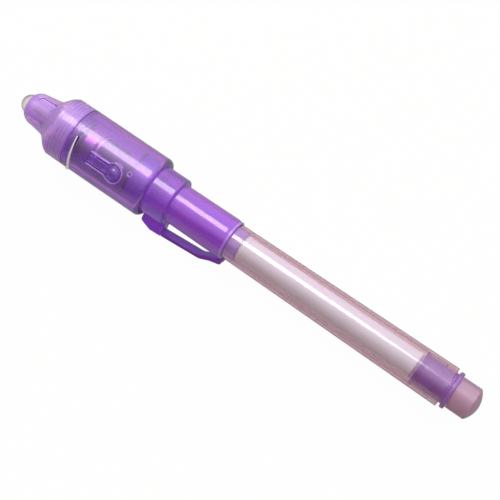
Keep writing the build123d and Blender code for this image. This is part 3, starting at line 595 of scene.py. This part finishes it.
def keyhole_rule():
    """Round bead on the housing's skin along a keyhole: two straight sides and an arc round the pad."""
    tree, ends = new_rule(
        "keyhole_bead",
        (
            ("Root", "Float", 0.0),
            ("Pad", "Float", 0.007),
            ("Pad Radius", "Float", 0.002),
            ("Half Width", "Float", 0.001),
            ("Skin Radius", "Float", 0.0078),
            ("Bead", "Float", 0.0002),
            ("Turn", "Vector", (0.0, 0.0, 0.0)),
            ("Axis", "Vector", (0.0, 0.0, 0.0)),
        ),
    )
    join = tree.links.new

    def maths(operation, first, second=None):
        node = add(tree, "ShaderNodeMath", operation=operation)
        for spot, value in zip(node.inputs, (first, second)):
            if isinstance(value, (int, float)):
                spot.default_value = value
            elif value is not None:
                join(value, spot)
        return node.outputs[0]

    def point(x, y, z=0.0):
        node = add(tree, "ShaderNodeCombineXYZ")
        for spot, value in zip(node.inputs, (x, y, z)):
            if isinstance(value, (int, float)):
                spot.default_value = value
            else:
                join(value, spot)
        return node.outputs[0]

    value = ends.outputs
    opening = maths("ARCSINE", maths("DIVIDE", value["Half Width"], value["Pad Radius"]))
    half_sweep = maths("SUBTRACT", math.pi, opening)
    arc = add(tree, "GeometryNodeCurveArc", Resolution=64)
    join(value["Pad Radius"], arc.inputs["Radius"])
    join(maths("MULTIPLY", half_sweep, -1.0), arc.inputs["Start Angle"])
    join(maths("MULTIPLY", half_sweep, 2.0), arc.inputs["Sweep Angle"])
    shifted = add(tree, "GeometryNodeTransform")
    join(arc.outputs["Curve"], shifted.inputs["Geometry"])
    join(point(value["Pad"], 0.0), shifted.inputs["Translation"])
    route = add(tree, "GeometryNodeJoinGeometry")
    join(shifted.outputs["Geometry"], route.inputs["Geometry"])
    inset = maths("MULTIPLY", value["Pad Radius"], maths("COSINE", opening))
    meeting = maths("SUBTRACT", value["Pad"], inset)
    for side in (1.0, -1.0):
        offset = maths("MULTIPLY", value["Half Width"], side)
        straight = add(tree, "GeometryNodeCurvePrimitiveLine")
        join(point(value["Root"], offset), straight.inputs["Start"])
        join(point(meeting, offset), straight.inputs["End"])
        join(straight.outputs["Curve"], route.inputs["Geometry"])
    edges = add(tree, "GeometryNodeCurveToMesh")
    welded = add(tree, "GeometryNodeMergeByDistance", Distance=BEAD_WELD)
    line = add(tree, "GeometryNodeMeshToCurve")
    even = add(tree, "GeometryNodeResampleCurve", mode="LENGTH", Length=BEAD_STEP)
    wrapped = add(tree, "GeometryNodeSetPosition")
    where = add(tree, "GeometryNodeInputPosition")
    parts = add(tree, "ShaderNodeSeparateXYZ")
    join(route.outputs["Geometry"], edges.inputs["Curve"])
    join(edges.outputs["Mesh"], welded.inputs["Geometry"])
    join(welded.outputs["Geometry"], line.inputs["Mesh"])
    join(line.outputs["Curve"], even.inputs["Curve"])
    join(even.outputs["Curve"], wrapped.inputs["Geometry"])
    join(where.outputs["Position"], parts.inputs[0])
    across = maths("POWER", parts.outputs["Y"], 2.0)
    rise = maths("SQRT", maths("SUBTRACT", maths("POWER", value["Skin Radius"], 2.0), across))
    join(point(parts.outputs["X"], parts.outputs["Y"], rise), wrapped.inputs["Position"])
    section = add(tree, "GeometryNodeCurvePrimitiveCircle", Resolution=12)
    sweep = add(tree, "GeometryNodeCurveToMesh", Fill_Caps=True)
    placed = add(tree, "GeometryNodeTransform")
    join(value["Bead"], section.inputs["Radius"])
    join(wrapped.outputs["Geometry"], sweep.inputs["Curve"])
    join(section.outputs["Curve"], sweep.inputs["Profile Curve"])
    join(sweep.outputs["Mesh"], placed.inputs["Geometry"])
    join(value["Turn"], placed.inputs["Rotation"])
    join(value["Axis"], placed.inputs["Translation"])
    return finish_rule(tree, ends, placed.outputs["Geometry"])


def strands_rule():
    """Rod of bonded fibres along X, with a surface that follows the fibres."""
    tree, ends = new_rule(
        "fibre_rod",
        (
            ("Radius", "Float", 0.003),
            ("Length", "Float", 0.04),
            ("Centre", "Vector", (0.0, 0.0, 0.0)),
            ("Relief", "Float", 0.00005),
        ),
    )
    rod = add(
        tree, "GeometryNodeMeshCylinder",
        Vertices=ROD_SIDES, Side_Segments=ROD_RINGS, Fill_Segments=ROD_END_RINGS,
    )
    turn = add(tree, "GeometryNodeTransform", Rotation=(0.0, math.pi / 2, 0.0))
    where = add(tree, "GeometryNodeInputPosition")
    drawn = add(tree, "ShaderNodeVectorMath", operation="MULTIPLY")
    drawn.inputs[1].default_value = STRAND_STRETCH
    noise = add(tree, "ShaderNodeTexNoise", Scale=1.0, Detail=2.0)
    # The relief goes inwards only, so that the rod keeps its radius
    lowered = add(tree, "ShaderNodeMath", operation="SUBTRACT")
    lowered.inputs[1].default_value = 1.0
    amount = add(tree, "ShaderNodeMath", operation="MULTIPLY")
    normal = add(tree, "GeometryNodeInputNormal")
    push = add(tree, "ShaderNodeVectorMath", operation="SCALE")
    moved = add(tree, "GeometryNodeSetPosition")
    join = tree.links.new
    join(ends.outputs["Radius"], rod.inputs["Radius"])
    join(ends.outputs["Length"], rod.inputs["Depth"])
    join(rod.outputs["Mesh"], turn.inputs["Geometry"])
    join(ends.outputs["Centre"], turn.inputs["Translation"])
    join(turn.outputs["Geometry"], moved.inputs["Geometry"])
    join(where.outputs["Position"], drawn.inputs[0])
    join(drawn.outputs[0], noise.inputs["Vector"])
    join(noise.outputs["Fac"], lowered.inputs[0])
    join(lowered.outputs[0], amount.inputs[0])
    join(ends.outputs["Relief"], amount.inputs[1])
    join(normal.outputs["Normal"], push.inputs[0])
    join(amount.outputs[0], push.inputs["Scale"])
    join(push.outputs[0], moved.inputs["Offset"])
    return finish_rule(tree, ends, moved.outputs["Geometry"])


def grow(name, tree, material, body, slot, **values):
    """Runs a tree of geometry nodes and keeps its result as a plain piece that rides on a body."""
    seed = bpy.data.objects.new(name + "_seed", bpy.data.meshes.new(name + "_seed"))
    bpy.context.scene.collection.objects.link(seed)
    modifier = seed.modifiers.new("rule", "NODES")
    modifier.node_group = tree
    values["Material"] = material
    for item in tree.interface.items_tree:
        label = item.name.replace(" ", "_")
        if item.in_out == "INPUT" and label in values:
            modifier[item.identifier] = values[label]
    graph = bpy.context.evaluated_depsgraph_get()
    mesh = bpy.data.meshes.new_from_object(seed.evaluated_get(graph), depsgraph=graph)
    bpy.data.objects.remove(seed)
    mesh.name = name
    return settle(name, mesh, body)


def settle(name, mesh, body):
    """Puts a finished mesh into the scene on a body."""
    piece = bpy.data.objects.new(name, mesh)
    bpy.context.scene.collection.objects.link(piece)
    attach(piece, body)
    return piece


rings = rings_rule()
keyhole = keyhole_rule()
fibre_rod = strands_rule()

# Seals in the cells
cell_fronts = [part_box(f"button_cell_{number}")[0][0] for number in (1, 2, 3)]
grow(
    "cell_seals", rings, seal_black, "cap", "holder_plastic",
    Count=3,
    First=(cell_fronts[0] + SEAL_SETBACK, AXIS.y, AXIS.z),
    Step=(cell_fronts[1] - cell_fronts[0], 0.0, 0.0),
    Radius=(SEAL_OUTER + SEAL_INNER) / 2,
    Width=SEAL_WIDTH,
    Depth=SEAL_OUTER - SEAL_INNER,
    Round=SEAL_ROUND,
)

# Rim of the cap's mouth. Its paler nose plastic is a painted highlight on the violet sleeve
grow(
    "mouth_bead", rings, nose_lilac, "cap", "sleeve_plastic",
    Count=1,
    First=(MOUTH - MOUTH_BEAD_SETBACK, AXIS.y, AXIS.z),
    Radius=MOUTH_BEAD_OUTER - MOUTH_BEAD_DEPTH / 2,
    Width=MOUTH_BEAD_WIDTH,
    Depth=MOUTH_BEAD_DEPTH,
    Round=MOUTH_BEAD_ROUND,
)

# Turned lines on the nose's skirt, over its thread
nose_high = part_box("nose_cone")[1]
skirt_ring_radius = nose_high[2] - AXIS.z - SKIRT_RING_DEPTH / 2 + SKIRT_RING_RISE
grow(
    "skirt_rings", rings, lilac, "nose", "housing_plastic",
    Count=SKIRT_RINGS,
    First=(nose_high[0] - SKIRT_RING_SETBACK, AXIS.y, AXIS.z),
    Step=(-SKIRT_RING_PITCH, 0.0, 0.0),
    Radius=skirt_ring_radius,
    Width=SKIRT_RING_WIDTH,
    Depth=SKIRT_RING_DEPTH,
    Round=SKIRT_RING_ROUND,
)

# Painted shade at the seam: a dark ring on the skirt's rear edge
grow(
    "seam_line", rings, clip_violet, "nose", "housing_plastic",
    Count=1,
    First=(nose_high[0] - SEAM_SHADE_WIDTH / 2, AXIS.y, AXIS.z),
    Radius=skirt_ring_radius,
    Width=SEAM_SHADE_WIDTH,
    Depth=SKIRT_RING_DEPTH,
    Round=SKIRT_RING_ROUND,
)

# Raised edges of the keyhole slot, and a round gate mark behind it
button_low, button_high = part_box("push_button")
pad_x = button_high[0] - PAD_RADIUS
housing_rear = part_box("light_housing")[1][0]
on_button = (math.radians(90 - BUTTON_ANGLE), 0.0, 0.0)
on_gate = (math.radians(90 - GATE_ANGLE), 0.0, 0.0)
grow(
    "keyhole_lip", keyhole, nose_lilac, "cap", "housing_plastic",
    Root=button_low[0],
    Pad=pad_x,
    Pad_Radius=LIP_PAD_RADIUS,
    Half_Width=LIP_HALF_WIDTH,
    Skin_Radius=SKIN_RADIUS,
    Bead=LIP_BEAD,
    Turn=on_button,
    Axis=AXIS,
)
grow(
    "tongue_rim", keyhole, lilac, "button", "housing_plastic",
    Root=button_low[0] + RIM_BEAD,
    Pad=pad_x,
    Pad_Radius=RIM_PAD_RADIUS,
    Half_Width=RIM_HALF_WIDTH,
    Skin_Radius=SKIN_RADIUS,
    Bead=RIM_BEAD,
    Turn=on_button,
    Axis=AXIS,
)
grow(
    "gate_mark", keyhole, nose_lilac, "cap", "housing_plastic",
    Root=housing_rear - GATE_SETBACK - GATE_RADIUS,
    Pad=housing_rear - GATE_SETBACK,
    Pad_Radius=GATE_RADIUS,
    Half_Width=0.0,
    Skin_Radius=SKIN_RADIUS,
    Bead=GATE_BEAD,
    Turn=on_gate,
    Axis=AXIS,
)

# Ink reservoir
rod_low, rod_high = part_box("ink_reservoir")
rod = grow(
    "reservoir_rod", fibre_rod, reservoir, "pen", "reservoir_fibre",
    Radius=(rod_high[2] - rod_low[2]) / 2,
    Length=rod_high[0] - rod_low[0],
    Centre=((rod_low[0] + rod_high[0]) / 2, AXIS.y, AXIS.z),
    Relief=STRAND_RELIEF,
)
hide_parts("ink_reservoir")


def film_layer(name, front, thickness, material, hem):
    """Layer of the pull tab. It follows the housing's skin, leans back in its middle and may end in a hem."""
    rows = columns = FILM_STEPS
    angle = math.radians(TAB_ANGLE)
    outward = Vector((0, -math.cos(angle), math.sin(angle)))
    down = Vector((0, -math.sin(angle), -math.cos(angle)))
    points = []
    for rear in (0, 1):
        for row in range(rows + 1):
            share = row / rows
            across = FILM_WIDTH * (share - 0.5)
            chord = FILM_EDGE + FILM_EDGE_SLANT * share
            edge = max(chord, math.sqrt(SKIN_RADIUS**2 - across**2)) - (0 if hem else FILM_HEM_DEPTH)
            lean = FILM_LEAN * (1 - (2 * share - 1) ** 2)
            for column in range(columns + 1):
                reach = FILM_INNER + (edge - FILM_INNER) * (column / columns) ** FILM_STEP_EASE
                bend = min(max((reach - FILM_LEAN_START) / (edge - FILM_LEAN_START), 0), 1)
                x = front + lean * bend**FILM_LEAN_EASE
                if rear:
                    near_edge = max(1 - (edge - reach) / FILM_HEM_DEPTH, 0) if hem else 0
                    hem_thickness = FILM_HEM + FILM_HEM_SPREAD * share**FILM_HEM_EASE
                    x += thickness + (hem_thickness - thickness) * near_edge
                spot = AXIS + outward * reach + down * across
                points.append((x, spot.y, spot.z))
    side = (rows + 1) * (columns + 1)
    faces = []
    for row in range(rows):
        for column in range(columns):
            a = row * (columns + 1) + column
            b = a + columns + 1
            faces.append((a, a + 1, b + 1, b))
            faces.append((side + a, side + b, side + b + 1, side + a + 1))
    border = list(range(columns))
    border += [row * (columns + 1) + columns for row in range(rows)]
    border += [rows * (columns + 1) + column for column in range(columns, 0, -1)]
    border += [row * (columns + 1) for row in range(rows, 0, -1)]
    for a, b in zip(border, border[1:] + border[:1]):
        faces.append((b, a, side + a, side + b))
    mesh = bpy.data.meshes.new(name)
    mesh.from_pydata(points, [], faces)
    mesh.materials.append(material)
    mesh.update()
    return settle(name, mesh, "tab")


film_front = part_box("pull_tab")[0][0]
film = film_layer("tab_sheet", film_front, FILM_THICKNESS, tab_film, hem=True)
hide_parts("pull_tab")
# Near-black layer behind the film, as painted shade in the slot
film_layer("tab_backing", film_front + FILM_THICKNESS, FILM_SHADE_THICKNESS, tab_backing, hem=False)


def by_ray(tree, path, shares):
    """Value that depends on the kind of ray that looks. A ray of several kinds takes the last one's share."""
    value = None
    for ray, share in shares.items():
        choice = add(tree, "ShaderNodeMix")
        choice.inputs[MIX_VALUE_A].default_value = 0.0
        choice.inputs[MIX_VALUE_B].default_value = share
        tree.links.new(path.outputs[ray], choice.inputs[0])
        if value is not None:
            tree.links.new(value, choice.inputs[MIX_VALUE_A])
        value = choice.outputs[0]
    return value


def studio_floor():
    """Pale table.

    The camera sees it nearly white, with a little of the pen's shadow. Reflections show it dim, and clear
    walls show it mostly as a lit surface.
    """
    bpy.ops.mesh.primitive_circle_add(
        vertices=FLOOR_SIDES, radius=FLOOR_RADIUS, fill_type="NGON", location=(0, 0, 0)
    )
    floor = bpy.context.object
    floor.name = "studio_floor"
    material, tree, output, shader = blank("studio_floor")
    shader.inputs["Base Color"].default_value = FLOOR_COLOUR
    shader.inputs["Roughness"].default_value = FLOOR_ROUGHNESS
    path = add(tree, "ShaderNodeLightPath")
    cover = by_ray(tree, path, FLOOR_COVER)
    level = by_ray(tree, path, FLOOR_LEVEL)
    glow = add(tree, "ShaderNodeEmission")
    tree.links.new(level, glow.inputs["Strength"])
    mix = add(tree, "ShaderNodeMixShader")
    tree.links.new(cover, mix.inputs[0])
    tree.links.new(shader.outputs[0], mix.inputs[1])
    tree.links.new(glow.outputs[0], mix.inputs[2])
    tree.links.new(mix.outputs[0], output.inputs["Surface"])
    floor.data.materials.append(material)


def studio_world():
    """White all round for the camera.

    For the rest a soft room, bright above and behind the pen, dim and warm in front.
    """
    world = bpy.data.worlds.new("studio_room")
    bpy.context.scene.world = world
    world.use_nodes = True
    tree = world.node_tree
    tree.nodes.clear()
    output = add(tree, "ShaderNodeOutputWorld")
    white = add(tree, "ShaderNodeBackground", Color=(1, 1, 1, 1), Strength=1.0)
    room = add(tree, "ShaderNodeBackground", Strength=1.0)
    place = add(tree, "ShaderNodeTexCoord")
    toward = add(tree, "ShaderNodeVectorMath", operation="DOT_PRODUCT")
    toward.inputs[1].default_value = ROOM_BRIGHT_SIDE
    ramp = add(tree, "ShaderNodeValToRGB")
    dim, bright = ramp.color_ramp.elements
    dim.position = 0.0
    dim.color = ROOM_DIM
    bright.position = ROOM_BRIGHT_AT
    bright.color = ROOM_BRIGHT
    path = add(tree, "ShaderNodeLightPath")
    mix = add(tree, "ShaderNodeMixShader")
    tree.links.new(place.outputs["Generated"], toward.inputs[0])
    tree.links.new(toward.outputs["Value"], ramp.inputs[0])
    tree.links.new(ramp.outputs[0], room.inputs["Color"])
    tree.links.new(path.outputs["Is Camera Ray"], mix.inputs[0])
    tree.links.new(room.outputs[0], mix.inputs[1])
    tree.links.new(white.outputs[0], mix.inputs[2])
    tree.links.new(mix.outputs[0], output.inputs["Surface"])


def soft_box(name, place, along, length, width, radiance):
    """Oval lamp over the pen that faces its middle, with its length along a direction."""
    lamp = bpy.data.lights.new(name, "AREA")
    lamp.shape = "ELLIPSE"
    lamp.size = length
    lamp.size_y = width
    lamp.energy = radiance * math.pi * length * width * math.pi / 4
    box = bpy.data.objects.new(name, lamp)
    back = Vector(place).normalized()
    side = back.cross(Vector(along)).normalized()
    lengthways = side.cross(back).normalized()
    turn = Matrix((lengthways, side, back)).transposed()
    box.matrix_world = Matrix.Translation(place) @ turn.to_4x4()
    bpy.context.scene.collection.objects.link(box)


studio_floor()
studio_world()
soft_box("key_box", KEY_PLACE, KEY_ALONG, KEY_LENGTH, KEY_WIDTH, KEY_RADIANCE)

camera = bpy.data.cameras.new("photo_camera")
camera.sensor_width = SENSOR_WIDTH
camera.lens = LENS
camera.clip_start = VIEW_NEAR
camera.clip_end = VIEW_FAR
viewer = bpy.data.objects.new("photo_camera", camera)
back = Vector(
    (
        math.cos(VIEW_ELEVATION) * math.sin(VIEW_AZIMUTH),
        -math.cos(VIEW_ELEVATION) * math.cos(VIEW_AZIMUTH),
        math.sin(VIEW_ELEVATION),
    )
)
right = Vector((math.cos(VIEW_AZIMUTH), math.sin(VIEW_AZIMUTH), 0.0))
turn = Matrix((right, back.cross(right), back)).transposed()
viewer.matrix_world = Matrix.Translation(VIEW_TARGET + back * VIEW_DISTANCE) @ turn.to_4x4()
bpy.context.scene.collection.objects.link(viewer)
bpy.context.scene.camera = viewer
bpy.context.scene.view_settings.view_transform = "Standard"
